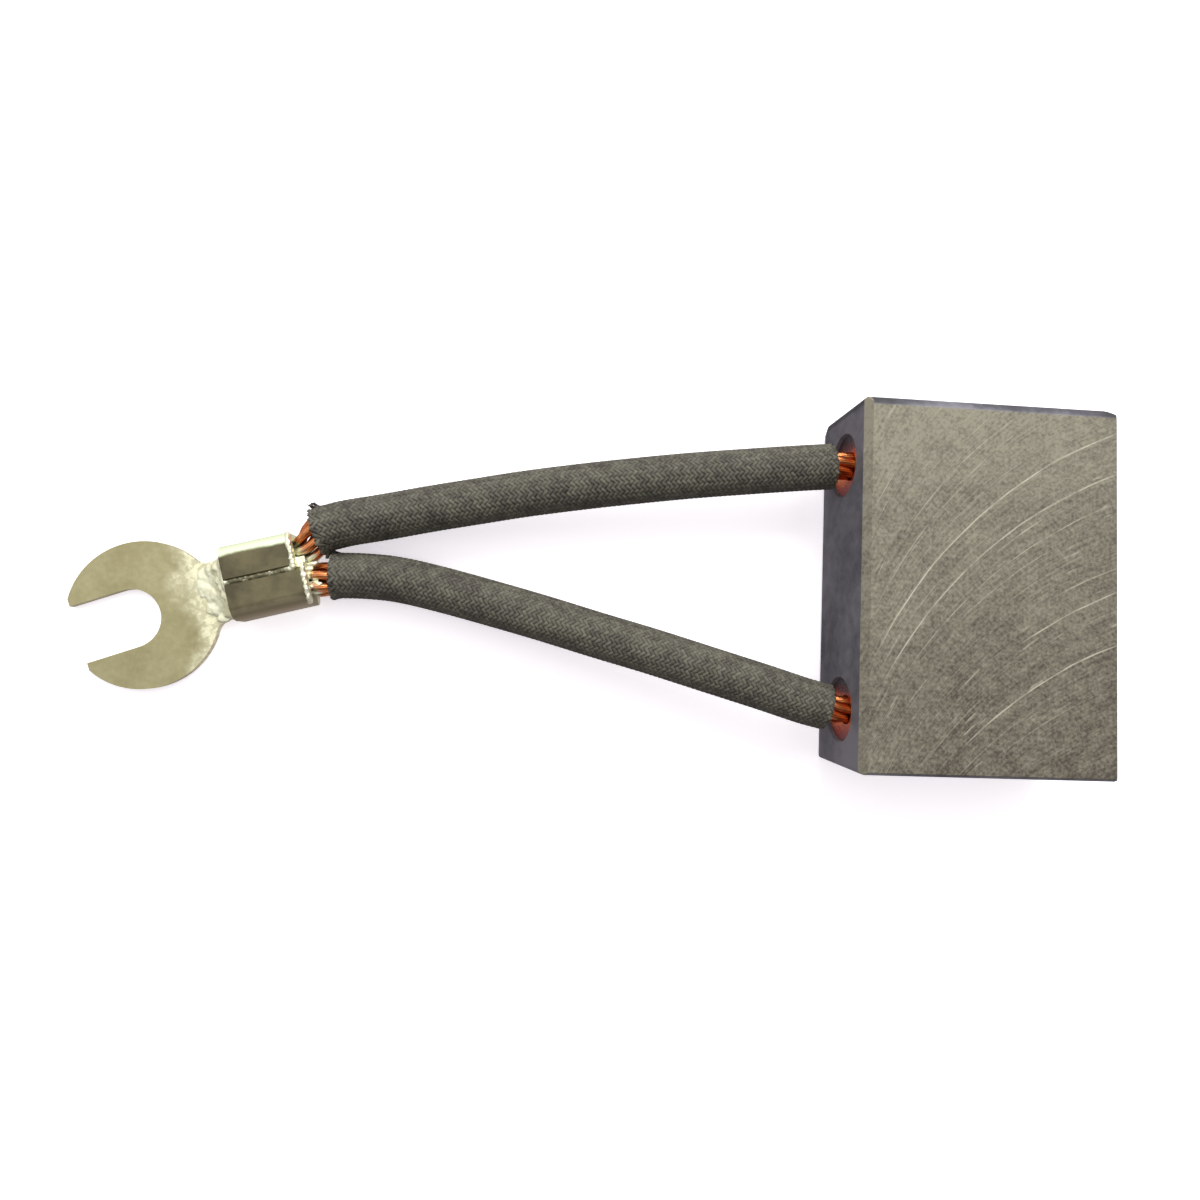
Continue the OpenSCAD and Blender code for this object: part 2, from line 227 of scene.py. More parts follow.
    # A flat oval or a lobed round profile
    circle = add(tree, "GeometryNodeCurvePrimitiveCircle", given["Sides"],
                 sockets={"Radius": 1.0})
    spot = add(tree, MATH, index, given["Sides"], operation="DIVIDE")
    spot = add(tree, MATH, spot, 2 * math.pi, operation="MULTIPLY")
    bulge = add(tree, MATH, spot, given["Wires"], operation="MULTIPLY")
    bulge = add(tree, MATH, bulge, operation="COSINE")
    swell = add(tree, MATH, bulge, given["Wire depth"], 1.0, operation="MULTIPLY_ADD")
    round_x = add(tree, MATH, spot, operation="COSINE")
    round_y = add(tree, MATH, spot, operation="SINE")
    wide = add(tree, MATH, round_x, given["Half thickness"], operation="MULTIPLY")
    wide = add(tree, MATH, wide, swell, operation="MULTIPLY")
    high = add(tree, MATH, round_y, given["Half width"], operation="MULTIPLY")
    high = add(tree, MATH, high, swell, operation="MULTIPLY")
    profile = add(tree, "GeometryNodeSetPosition", circle,
                  sockets={"Position": add(tree, "ShaderNodeCombineXYZ", wide, high, 0.0)})
    profile = add(tree, "GeometryNodeStoreNamedAttribute", profile, data_type="FLOAT_VECTOR",
                  domain="POINT", sockets={
                      "Name": "round",
                      "Value": add(tree, "ShaderNodeCombineXYZ", round_x, round_y, bulge)})
    yarns = add(tree, "GeometryNodeCurveToMesh", curves, profile, sockets={"Fill Caps": True})

    # What the yarns lie on
    rod = add(tree, "GeometryNodeCurvePrimitiveCircle", 16,
              sockets={"Radius": given["Core radius"]})
    core = add(tree, "GeometryNodeCurveToMesh", path, rod, sockets={"Fill Caps": True})
    core = add(tree, "GeometryNodeStoreNamedAttribute", core, data_type="BOOLEAN",
               domain="FACE", sockets={"Name": "core", "Value": True})
    joined = add(tree, "GeometryNodeJoinGeometry", out=None)
    for part in (core, yarns):
        tree.links.new(part, joined.inputs[0])
    whole = add(tree, "GeometryNodeSetShadeSmooth", joined.outputs[0])
    whole = add(tree, "GeometryNodeRealizeInstances", whole)
    is_core = add(tree, "GeometryNodeInputNamedAttribute", "core", data_type="BOOLEAN")
    whole = add(tree, "GeometryNodeSetMaterial", whole,
                sockets={"Material": given["Yarn material"]})
    whole = add(tree, "GeometryNodeSetMaterial", whole, is_core,
                sockets={"Material": given["Core material"]})
    add(tree, "NodeGroupOutput", whole, out=None)
    return tree


YARN_TREE = yarns_round_a_path()
print("tree with", len(YARN_TREE.nodes), "nodes and inputs:", ", ".join(i[0] for i in INPUTS))


def laid_round(name, route, values):
    """A plain mesh of the yarns laid round the route, by the tree above."""
    curve = bpy.data.curves.new(name + "_path", "CURVE")
    curve.dimensions = "3D"
    spline = curve.splines.new("POLY")
    spline.points.add(len(route) - 1)
    for point, place in zip(spline.points, route):
        point.co = (*place, 1.0)
    carrier = bpy.data.objects.new(name + "_path", curve)
    scene.collection.objects.link(carrier)
    modifier = carrier.modifiers.new("yarns", "NODES")
    modifier.node_group = YARN_TREE
    for item in YARN_TREE.interface.items_tree:
        if item.in_out == "INPUT" and item.name in values:
            modifier[item.identifier] = values[item.name]
    evaluated = carrier.evaluated_get(bpy.context.evaluated_depsgraph_get())
    mesh = bpy.data.meshes.new_from_object(evaluated)
    bpy.data.objects.remove(carrier)
    # A splayed end bends where it meets the table
    for vert in mesh.vertices:
        vert.co.z = max(vert.co.z, 0.00001)
    piece = bpy.data.objects.new(name, mesh)
    scene.collection.objects.link(piece)
    faces = len(mesh.loop_triangles) or sum(len(p.vertices) - 2 for p in mesh.polygons)
    print(f"{name}: {faces} triangles")
    return piece


# %% [markdown]
# ## Copper of the shunts
#
# A shunt is a rope of bare electrolytic copper, bunched from hair-thin soft wires so that it
# bends freely. Fresh from the sleeve it is a clean salmon orange. Near the terminal the solder
# has crept up between the wires and turned them silvery. The colour follows the distance along
# the rope, which the tree has stored as "along".

# %% Materials of the ropes


def new_material(name):
    material = bpy.data.materials.new(name)
    print("material:", name)
    material.use_nodes = True
    tree = material.node_tree
    tree.nodes.clear()
    return material, tree


def shaded(tree, **sockets):
    """Ends a material in a Principled shader with these sockets, named with underscores."""
    named = {name.replace("_", " "): value for name, value in sockets.items()}
    shader = add(tree, "ShaderNodeBsdfPrincipled", sockets=named)
    add(tree, "ShaderNodeOutputMaterial", shader, out=None)


def copper_strands(tin_from):
    """Soft copper wires, bare at first and wetted by solder beyond tin_from (0 to 1)."""
    material, tree = new_material("bunched soft copper wires")
    coordinate = add(tree, "ShaderNodeTexCoord", out="Object")
    along = add(tree, "ShaderNodeAttribute", attribute_name="along", out="Fac")
    lobes = add(tree, "ShaderNodeAttribute", attribute_name="round", out="Vector")
    hollow = add(tree, "ShaderNodeSeparateXYZ", lobes, out="Z")
    patches = add(tree, NOISE, out="Fac",
                  sockets={"Vector": coordinate, "Scale": 900.0, "Detail": 3.0})
    # Valleys between wires are deep red, because light bounces between copper and copper
    tone = add(tree, MATH, hollow, 0.28, 0.55, operation="MULTIPLY_ADD")
    tone = add(tree, MATH, tone, patches, operation="MULTIPLY")
    copper = add(tree, RAMP, tone, out=None)
    set_stops(copper, (0.1, "#96401c"), (0.5, "#fcb07a"), (0.28, "#e58c54"))
    edge = add(tree, MATH, patches, 0.02, along, operation="MULTIPLY_ADD")
    tinned = add(tree, RANGE, edge, tin_from + 0.004, tin_from + 0.018,
                 interpolation_type="SMOOTHSTEP")
    colour = add(tree, MIX, data_type="RGBA", sockets={
        "Factor": tinned, "A": copper.outputs[0], "B": linear("#e6e8cc")})
    grain = add(tree, NOISE, out="Fac",
                sockets={"Vector": coordinate, "Scale": 6000.0, "Detail": 2.0})
    bump = add(tree, "ShaderNodeBump", sockets={
        "Strength": 0.35, "Distance": 0.00004, "Height": grain})
    shaded(tree, Base_Color=colour, Metallic=1.0, Roughness=0.34, Normal=bump)
    return material


# The middle strand is painted dark: painted shade, which shows between the bright strands
rope_core_painted_shade, core_tree = new_material("copper in the middle of a rope, painted dark as shade")
core_shade_mottle = add(core_tree, NOISE, out="Fac", sockets={"Scale": 700.0})
core_mix = add(core_tree, MIX, data_type="RGBA", sockets={
    "Factor": core_shade_mottle, "A": linear("#5a2210"), "B": linear("#8a4524")})
shaded(core_tree, Base_Color=core_mix, Metallic=1.0, Roughness=0.5)

# %% [markdown]
# ## The two shunts
#
# Each rope is 2.5 mm thick and starts 10 mm deep in the block, where powder holds it. It runs
# to the crimp barrel, 67 mm and 65 mm long. The routes are those of the CAD solids. Six strands
# of 0.83 mm turn round a core with a lay of about 22 mm, and the wires of a strand turn the
# other way, as rope makers do so that the rope doesn't unlay.

# %% Ropes


def in_metres(points):
    return [[c / 1000 for c in point] for point in points]


def length_of(route):
    return sum(math.dist(a, b) for a, b in zip(route, route[1:]))


UPPER_ROUTE = in_metres([
    [-1.25, 11, 5], [-6, 11, 5], [-10.5, 11, 5], [-12, 10.95, 5], [-15.2, 10.6, 4.95],
    [-20, 10.05, 4.85], [-25, 9.45, 4.7], [-30, 8.75, 4.5], [-35, 8, 4.2], [-40, 7.15, 3.9],
    [-44, 6.35, 3.65], [-48, 5.55, 3.35], [-52.5, 4.55, 3.1], [-54.6, 4.2, 3], [-56, 4, 3.05],
    [-57.1, 3.6, 2.9], [-58.1, 3, 2.7], [-58.65, 2.2, 2.4], [-59.2, 1.5, 2.15],
    [-59.8, 1.08, 2.05], [-60.45, 0.77, 2.05], [-65.7, -0.69, 2.05]])
LOWER_ROUTE = in_metres([
    [-1.25, -11, 5], [-6, -11, 5], [-10.5, -11, 5], [-12, -10.9, 5], [-14.6, -10.3, 5],
    [-18, -9.3, 4.9], [-23, -7.9, 4.6], [-28, -6.5, 4.25], [-33, -5.2, 3.9],
    [-38, -3.85, 3.45], [-43, -2.6, 3], [-47.5, -1.55, 2.6], [-51, -0.9, 2.4],
    [-54, -0.7, 2.2], [-56, -0.8, 2.1], [-57.5, -1.12, 2.05], [-58.75, -1.46, 2.05],
    [-65, -3.19, 2.05]])
STRAND_RADIUS = 0.000415
ROPE_LAY = 0.022


def rope(name, route, free_from, free_to):
    long = length_of(route)
    piece = laid_round(name, route, {
        "Yarns": 6, "Steps": 160, "Turns": long / ROPE_LAY, "Radius": 2 * STRAND_RADIUS,
        "Half thickness": STRAND_RADIUS * 0.96, "Half width": STRAND_RADIUS * 0.96,
        "Sides": 36, "Wires": 12, "Wire depth": 0.05, "Wire turns": -2 * long / ROPE_LAY,
        "Core radius": STRAND_RADIUS, "Bulge": 0.0003,
        "Bulge from": 1 - free_from / long, "Bulge to": 1 - free_to / long,
        "Yarn material": copper_strands(1 - 0.0072 / long), "Core material": rope_core_painted_shade})
    print(f"{name}: {long * 1000:.1f} mm")
    return piece


upper_strands = rope("upper_strands", UPPER_ROUTE, 0.0098, 0.0058)
lower_strands = rope("lower_strands", LOWER_ROUTE, 0.0092, 0.0062)

# %% [markdown]
# ## Braided sleeves
#
# The sleeve is a flat glass-yarn braid, grey from handling and from carbon dust. 30 yarns turn
# each way, two over and two under, so its surface is a fine herringbone, with 0.44 mm from yarn
# to yarn along the sleeve. Between the yarns it is nearly black. Single filaments are too thin to
# show, so the bump along a yarn is drawn coarser than they are.

# %% Materials of the sleeves
sleeve_yarn, yarn_tree = new_material("glass-yarn braid, greyed by carbon dust")
yarn_place = add(yarn_tree, "ShaderNodeTexCoord", out="Object")
yarn_number = add(yarn_tree, "ShaderNodeAttribute", attribute_name="yarn", out="Fac")
# Each float of a yarn over its neighbours catches the light a little differently
FLOATS_PER_YARN = 108.0
yarn_along = add(yarn_tree, "ShaderNodeAttribute", attribute_name="along", out="Fac")
yarn_float = add(yarn_tree, MATH, yarn_along, FLOATS_PER_YARN, operation="MULTIPLY")
yarn_float = add(yarn_tree, MATH, yarn_float, operation="FLOOR")
yarn_luck = add(yarn_tree, "ShaderNodeTexWhiteNoise", noise_dimensions="2D", out="Value",
                sockets={"Vector": add(yarn_tree, "ShaderNodeCombineXYZ", yarn_number,
                                       yarn_float, 0.0)})
dust = add(yarn_tree, NOISE, out="Fac", sockets={
    "Vector": yarn_place, "Scale": 450.0, "Detail": 4.0, "Roughness": 0.65})
fleck = add(yarn_tree, NOISE, out="Fac", sockets={
    "Vector": yarn_place, "Scale": 2600.0, "Detail": 2.0})
# The outer crown of each yarn is painted lighter and its underside darker: painted light and shade
# across the yarn
yarn_round = add(yarn_tree, "ShaderNodeAttribute", attribute_name="round", out="Vector")
crown_painted_light = add(yarn_tree, "ShaderNodeSeparateXYZ", yarn_round, out="X")
yarn_tone = 0.16
for share, weight in ((crown_painted_light, 0.12), (yarn_luck, 0.2), (dust, 0.45), (fleck, 0.3)):
    yarn_tone = add(yarn_tree, MATH, share, weight, yarn_tone, operation="MULTIPLY_ADD")
yarn_colours = add(yarn_tree, RAMP, yarn_tone, out=None)
set_stops(yarn_colours, (0.3, "#201a1c"), (0.9, "#716f60"), (0.6, "#454039"))
filaments = add(yarn_tree, "ShaderNodeBump", sockets={
    "Strength": 0.5, "Distance": 0.00005, "Height": fleck})
shaded(yarn_tree, Base_Color=yarn_colours.outputs[0], Roughness=0.7, Normal=filaments)

# A dark tube under the yarns: painted shade, which shows nearly black between them
painted_shade_under_braid, inside_tree = new_material("painted shade under the braid")
inside_shade_mottle = add(inside_tree, NOISE, out="Fac", sockets={"Scale": 1500.0})
inside_mix = add(inside_tree, MIX, data_type="RGBA", sockets={
    "Factor": inside_shade_mottle, "A": linear("#151214"), "B": linear("#2e2a2a")})
shaded(inside_tree, Base_Color=inside_mix, Roughness=0.85)

# %% Sleeves
UPPER_SLEEVE_ROUTE = in_metres([
    [-11.75, 10.95, 5], [-15.2, 10.6, 4.95], [-20, 10.05, 4.85], [-25, 9.45, 4.7],
    [-30, 8.75, 4.5], [-35, 8, 4.2], [-40, 7.15, 3.9], [-44, 6.35, 3.65], [-48, 5.55, 3.35],
    [-52.5, 4.55, 3.1], [-55.4, 3.95, 2.95], [-57, 3.5, 2.85], [-58, 3.2, 2.75]])
LOWER_SLEEVE_ROUTE = in_metres([
    [-12, -10.9, 5], [-14.6, -10.3, 5], [-18, -9.3, 4.9], [-23, -7.9, 4.6],
    [-28, -6.5, 4.25], [-33, -5.2, 3.9], [-38, -3.85, 3.45], [-43, -2.6, 3],
    [-47.5, -1.55, 2.6], [-51, -0.9, 2.4], [-54, -0.7, 2.15], [-56.7, -0.75, 2.1]])
CARRIERS = 30
BRAID_LAY = 0.0132


def braid(name, route, fray):
    crossings = round(length_of(route) / BRAID_LAY * 2 * CARRIERS)
    return laid_round(name, route, {
        "Yarns": 2 * CARRIERS, "Steps": crossings + 1, "Turns": crossings / (2 * CARRIERS),
        "Both ways": True, "Radius": 0.00195, "Weave": 0.00006, "Half thickness": 0.00007,
        "Half width": 0.00019, "Sides": 6, "Core radius": 0.00184, "Fray": fray,
        "Fray from": 1 - 0.0008 / length_of(route),
        "Yarn material": sleeve_yarn, "Core material": painted_shade_under_braid})


def drawn_back(route, gap):
    """The route with its first end moved along it, as the braid has slipped off the block."""
    start, following = Vector(route[0]), Vector(route[1])
    return [list(start + (following - start).normalized() * gap)] + route[1:]


upper_braid = braid("upper_braid", drawn_back(UPPER_SLEEVE_ROUTE, 0.0007), 0.0006)
lower_braid = braid("lower_braid", drawn_back(LOWER_SLEEVE_ROUTE, 0.0005), 0.0003)

# %% [markdown]
# ## The ground graphite block
#
# The block is pressed and baked copper graphite, a dull, finely mottled grey with a brown cast.
# Its broad face was ground by the rim of a cup wheel 80 mm across, fed along the block's width,
# so each scratch is a piece of the same circle, shifted along Y. One number tells the scratches
# apart: where the wheel's centre stood. The other faces still have the smooth, darker and bluer
# skin of the press. All of that is colour and bump, so the CAD solid stays and gets a material.

# %% Material of the block
graphite, carbon_tree = new_material("ground and pressed copper graphite")
place = add(carbon_tree, "ShaderNodeTexCoord", out="Object")
separate = add(carbon_tree, "ShaderNodeSeparateXYZ", place, out=None).outputs
BLOCK_TOP = 0.01
SHUNT_FACE = -0.01125
SHUNT_BEVEL = 0.0006
SIDE_BEVEL_START = 0.0152

# 1 on the ground face and on the worn bevel at the shunt face, 0 on the sides
upper_face = add(carbon_tree, RANGE, separate["Z"], BLOCK_TOP - 0.00008, BLOCK_TOP - 0.00003)
within = add(carbon_tree, RANGE, separate["Y"], SIDE_BEVEL_START + 0.00014, SIDE_BEVEL_START)
upper_face = add(carbon_tree, MATH, upper_face, within, operation="MULTIPLY")
bevel_foot = BLOCK_TOP - SHUNT_BEVEL
worn_bevel = add(carbon_tree, RANGE, separate["Z"], bevel_foot - 0.00004, bevel_foot + 0.00004)
bevel_top = SHUNT_FACE + SHUNT_BEVEL
within = add(carbon_tree, RANGE, separate["X"], bevel_top + 0.00003, bevel_top - 0.00003)
worn_bevel = add(carbon_tree, MATH, worn_bevel, within, operation="MULTIPLY")
ground = add(carbon_tree, MATH, upper_face, worn_bevel, operation="MAXIMUM")

# Where the wheel's centre stood when it passed here, and how steeply its rim crosses Y
WHEEL_RADIUS = 0.04
WHEEL_X = 0.026
from_wheel = add(carbon_tree, MATH, separate["X"], WHEEL_X, operation="SUBTRACT")
squared = add(carbon_tree, MATH, from_wheel, from_wheel, operation="MULTIPLY")
squared = add(carbon_tree, MATH, WHEEL_RADIUS ** 2, squared, operation="SUBTRACT")
rise = add(carbon_tree, MATH, squared, operation="SQRT")
feed = add(carbon_tree, MATH, separate["Y"], rise, operation="SUBTRACT")
slope = add(carbon_tree, MATH, rise, WHEEL_RADIUS, operation="DIVIDE")


def grind(spacing, stretch, seed, detail=2.0):
    """Noise drawn out along the wheel's tracks, with that spacing and length in metres."""
    across = add(carbon_tree, MATH, feed, spacing, operation="DIVIDE")
    along = add(carbon_tree, MATH, separate["X"], stretch, operation="DIVIDE")
    spot = add(carbon_tree, "ShaderNodeCombineXYZ", across, along, seed)
    return add(carbon_tree, NOISE, out="Fac", sockets={
        "Vector": spot, "Scale": 1.0, "Detail": detail})


# %% [markdown]
# ## Scratches of the ground face
#
# The deepest scratches are listed one by one, and each fades in and out along X and wavers a
# little, as a loose grain rolls. The many finer ones are noise that is drawn out along the same
# circles, in short dashes and in faint tracks, because a list of them would have no end.

# %% Scratches
# Where the wheel stood, where the scratch starts and ends along X, its half width, its strength
SCRATCHES = [
    (-41.5, -2.6, 11.5, 0.09, 1.0), (-37.0, 2.3, 11.5, 0.09, 0.9), (-34.9, 5.5, 11.5, 0.07, 0.7),
    (-29.3, -7.5, 11.5, 0.07, 0.6), (-26.8, -9.7, 11.5, 0.09, 0.85), (-23.2, -10.2, 11.5, 0.1, 1.0),
    (-30.6, -3.0, 5.5, 0.06, 0.5), (-27.6, 0.0, 4.6, 0.08, 0.7), (-25.2, -10.0, -4.0, 0.06, 0.4),
    (-19.2, -10.0, -1.2, 0.07, 0.5), (-17.1, -8.2, 0.5, 0.07, 0.55), (-16.2, -6.0, 0.0, 0.05, 0.4),
    (-43.4, -6.0, 4.0, 0.06, 0.4), (-45.0, 0.0, 9.0, 0.06, 0.35), (-39.0, -7.0, 0.0, 0.06, 0.35),
    (-32.6, 1.0, 9.0, 0.05, 0.35), (-21.4, -9.0, 3.0, 0.05, 0.35)]
wander = add(carbon_tree, MATH, grind(0.004, 0.004, 11.0), 0.0003, operation="MULTIPLY")
wandering = add(carbon_tree, MATH, feed, wander, operation="ADD")
broken = add(carbon_tree, RANGE, grind(0.0009, 0.0016, 21.0, 3.0), 0.36, 0.56, 0.3, 1.0)
deep = 0.0
for centre, start, end, half_width, strength in SCRATCHES:
    off = add(carbon_tree, MATH, wandering, centre / 1000 + 0.00015, operation="SUBTRACT")
    off = add(carbon_tree, MATH, off, operation="ABSOLUTE")
    off = add(carbon_tree, MATH, off, slope, operation="MULTIPLY")
    line = add(carbon_tree, RANGE, off, 0.0, half_width / 1000, strength, 0.0)
    begun = add(carbon_tree, RANGE, separate["X"], start / 1000, start / 1000 + 0.0015)
    ended = add(carbon_tree, RANGE, separate["X"], end / 1000, end / 1000 - 0.0015)
    line = add(carbon_tree, MATH, line, begun, operation="MULTIPLY")
    line = add(carbon_tree, MATH, line, ended, operation="MULTIPLY")
    deep = add(carbon_tree, MATH, deep, line, operation="MAXIMUM")
deep = add(carbon_tree, MATH, deep, broken, operation="MULTIPLY")
print(len(SCRATCHES), "deep scratches")

# Short light dashes where single grains were dragged, and the faint tracks of all the others
dashes = add(carbon_tree, RANGE, grind(0.00042, 0.0026, 5.0), 0.62, 0.74)
gate = add(carbon_tree, RANGE, grind(0.003, 0.003, 35.0), 0.4, 0.6)
dashes = add(carbon_tree, MATH, dashes, gate, operation="MULTIPLY")
tracks = grind(0.00022, 0.006, 1.0, 3.0)
dashes = add(carbon_tree, MATH, dashes, 0.5, operation="MULTIPLY")
lines = add(carbon_tree, MATH, deep, dashes, operation="MAXIMUM")

# %% [markdown]
# ## Grain and colour of the block
#
# Graphite and copper grains give the pressed body a fine mottle, and it is a little cloudy from
# pressing and handling. Three noises are added up for that, about 0.3 mm, 1.2 mm and 9 mm from
# light to light. They fill the solid in space, so they have no seam at an edge.

# %% Grain and colour of the block
grains = add(carbon_tree, NOISE, out="Fac", sockets={
    "Vector": place, "Scale": 3300.0, "Detail": 3.0, "Roughness": 0.6})
mottle = add(carbon_tree, NOISE, out="Fac", sockets={
    "Vector": place, "Scale": 800.0, "Detail": 3.0, "Roughness": 0.6})
clouds = add(carbon_tree, NOISE, out="Fac", sockets={
    "Vector": place, "Scale": 110.0, "Detail": 2.0})
# Paler towards the shunt face and the +Y side, browner towards the other corner: partly the
# block's own tone, partly painted light. The worn bevel at the shunt face is painted paler, to
# make up for the light it lacks.
tone = -0.275
for share, weight in ((tracks, 0.42), (grains, 0.85), (mottle, 0.5), (clouds, 0.3),
                      (separate["Y"], 8.0), (separate["X"], -2.5), (worn_bevel, 0.08)):
    tone = add(carbon_tree, MATH, share, weight, tone, operation="MULTIPLY_ADD")
ground_node = add(carbon_tree, RAMP, tone, out=None)
set_stops(ground_node, (0.5, "#51493f"), (1.0, "#999381"))
scratched = add(carbon_tree, MIX, data_type="RGBA", sockets={
    "Factor": lines, "A": ground_node.outputs[0], "B": linear("#cbc6b1")})
skin_tone = add(carbon_tree, MATH, mottle, 0.5, clouds, operation="MULTIPLY_ADD")
# The side towards +Y and its bevel are painted darker: a painted dark reflection on that smooth
# skin
plus_y_painted_dark = add(carbon_tree, RANGE, separate["Y"], SIDE_BEVEL_START, 0.0156, 0.0, 0.3)
skin_tone = add(carbon_tree, MATH, skin_tone, plus_y_painted_dark, operation="SUBTRACT")
skin_node = add(carbon_tree, RAMP, skin_tone, out=None)
set_stops(skin_node, (0.3, "#3b3a3b"), (0.9, "#928f97"), (0.55, "#58575e"))
carbon_colour = add(carbon_tree, MIX, data_type="RGBA", sockets={
    "Factor": ground, "A": skin_node.outputs[0], "B": scratched})
relief = add(carbon_tree, MATH, lines, -1.0, tracks, operation="MULTIPLY_ADD")
relief = add(carbon_tree, MATH, relief, ground, operation="MULTIPLY")
relief = add(carbon_tree, MATH, grains, 0.8, relief, operation="MULTIPLY_ADD")
carbon_bump = add(carbon_tree, "ShaderNodeBump", sockets={
    "Strength": 0.4, "Distance": 0.00003, "Height": relief})
carbon_rough = add(carbon_tree, RANGE, ground, 0.0, 1.0, 0.6, 0.65)
shaded(carbon_tree, Base_Color=carbon_colour, Metallic=0.15, Roughness=carbon_rough,
       Normal=carbon_bump)
print("the block's material has", len(carbon_tree.nodes), "nodes")

# %% [markdown]
# ## Copper powder in the holes
#
# Each rope is held by copper powder that was tamped round it, nearly up to the mouth of the
# hole. Its colour is painted light: a painted bright orange highlight in the middle, painted
# deep red shade at one side and a painted black shadow in the crescent under the +Y rim.

# %% Material of the tamping
tamped, tamped_tree = new_material("tamped copper powder")
tamped_place = add(tamped_tree, "ShaderNodeTexCoord", out="Object")
tamped_y = add(tamped_tree, "ShaderNodeSeparateXYZ", tamped_place, out="Y")
grit = add(tamped_tree, "ShaderNodeTexVoronoi", out="Distance", sockets={
    "Vector": tamped_place, "Scale": 4500.0})
# Height of the point across its own hole, whichever of the two it is
HOLE_OFFSET = 0.011
hole_side = add(tamped_tree, MATH, tamped_y, operation="SIGN")
across_hole = add(tamped_tree, MATH, hole_side, -HOLE_OFFSET, tamped_y, operation="MULTIPLY_ADD")
across_hole = add(tamped_tree, MATH, grit, 0.0006, across_hole, operation="MULTIPLY_ADD")
# Painted light across each hole: a highlight in the middle, shade and shadow towards its wall
powder_painted_light = add(tamped_tree, RAMP, add(
    tamped_tree, RANGE, across_hole, -0.0027, 0.0029), out=None)
set_stops(powder_painted_light, (0.0, "#3c161c"), (0.96, "#1c0e10"), (0.2, "#b04430"), (0.36, "#ff8a4a"),
          (0.56, "#ffe0a8"), (0.7, "#ff7440"), (0.82, "#6a2018"))
powder_bump = add(tamped_tree, "ShaderNodeBump", sockets={
    "Strength": 0.6, "Distance": 0.00008, "Height": grit})
shaded(tamped_tree, Base_Color=powder_painted_light.outputs[0], Metallic=0.6, Roughness=0.3,
       Normal=powder_bump)

# %% [markdown]
# ## The tinned fork terminal
#
# The terminal is pressed from brass sheet and dull tin-plated, so it is a warm, slightly green
# grey with a silky sheen. Soldering has darkened the barrel with heat and flux.

# %% Material of the terminal
TERMINAL_PLACE = Vector((-0.0747, -0.0053, 0.0))
TERMINAL_TURN = math.radians(20.5)
# The crimping has bent the neck, 8.5 mm from the centre of the slot's round end
BEND_AT = 0.0085
BARREL_TURN = TERMINAL_TURN - math.radians(5)
BEND_PLACE = TERMINAL_PLACE + BEND_AT * Vector((math.cos(TERMINAL_TURN),
                                                math.sin(TERMINAL_TURN), 0.0))


def stations(tree):
    """The place in space, and the distances along and across the barrel's line, in metres."""
    place = add(tree, "ShaderNodeTexCoord", out="Object")
    moved = add(tree, VECTOR_MATH, place, tuple(BEND_PLACE), operation="SUBTRACT")
    turned = add(tree, "ShaderNodeVectorRotate", moved, rotation_type="Z_AXIS",
                 sockets={"Angle": -BARREL_TURN})
    moved = add(tree, VECTOR_MATH, turned, (BEND_AT, 0.0, 0.0), operation="ADD")
    return place, add(tree, "ShaderNodeSeparateXYZ", moved, out=None).outputs


tinned_brass, tin_tree = new_material("dull tin plate on brass, with solder run out on the neck")
tin_place, tin_at = stations(tin_tree)
tin_cloud = add(tin_tree, NOISE, out="Fac", sockets={
    "Vector": tin_place, "Scale": 260.0, "Detail": 4.0, "Roughness": 0.6})
tin_fine = add(tin_tree, NOISE, out="Fac", sockets={
    "Vector": tin_place, "Scale": 2200.0, "Detail": 3.0})
tin_tone = add(tin_tree, MATH, tin_fine, 0.5, tin_cloud, operation="MULTIPLY_ADD")
tin_node = add(tin_tree, RAMP, tin_tone, out=None)
set_stops(tin_node, (0.45, "#a69d75"), (1.0, "#c2ba91"))
on_barrel = add(tin_tree, RANGE, tin_at["Z"], 0.0008, 0.0012)
heat = add(tin_tree, RANGE, tin_cloud, 0.35, 0.65, 0.6, 1.05)
darkening = add(tin_tree, MATH, on_barrel, heat, operation="MULTIPLY")
tin_colour = add(tin_tree, MIX, data_type="RGBA", sockets={
    "Factor": darkening, "A": tin_node.outputs[0], "B": linear("#665f4c")})
# Painted highlights on both bends of the barrel, a painted reflection of the lamp, the +Y one the
# brightest
for low, high, highlight_tint in ((0.00225, 0.0025, "#f4ffdc"), (-0.0024, -0.0028, "#b0a488")):
    bend = add(tin_tree, MATH, tin_cloud, 0.0008, tin_at["Y"], operation="MULTIPLY_ADD")
    bend = add(tin_tree, RANGE, bend, low + 0.0004, high + 0.0004)
    bend = add(tin_tree, MATH, bend, on_barrel, operation="MULTIPLY")
    tin_colour = add(tin_tree, MIX, data_type="RGBA", sockets={
        "Factor": bend, "A": tin_colour, "B": linear(highlight_tint)})
# A film of solder thins out from the barrel towards the fork, in patches
film = add(tin_tree, MATH, tin_cloud, 0.008, tin_at["X"], operation="MULTIPLY_ADD")
film = add(tin_tree, RANGE, film, 0.0078, 0.0106, interpolation_type="SMOOTHSTEP")
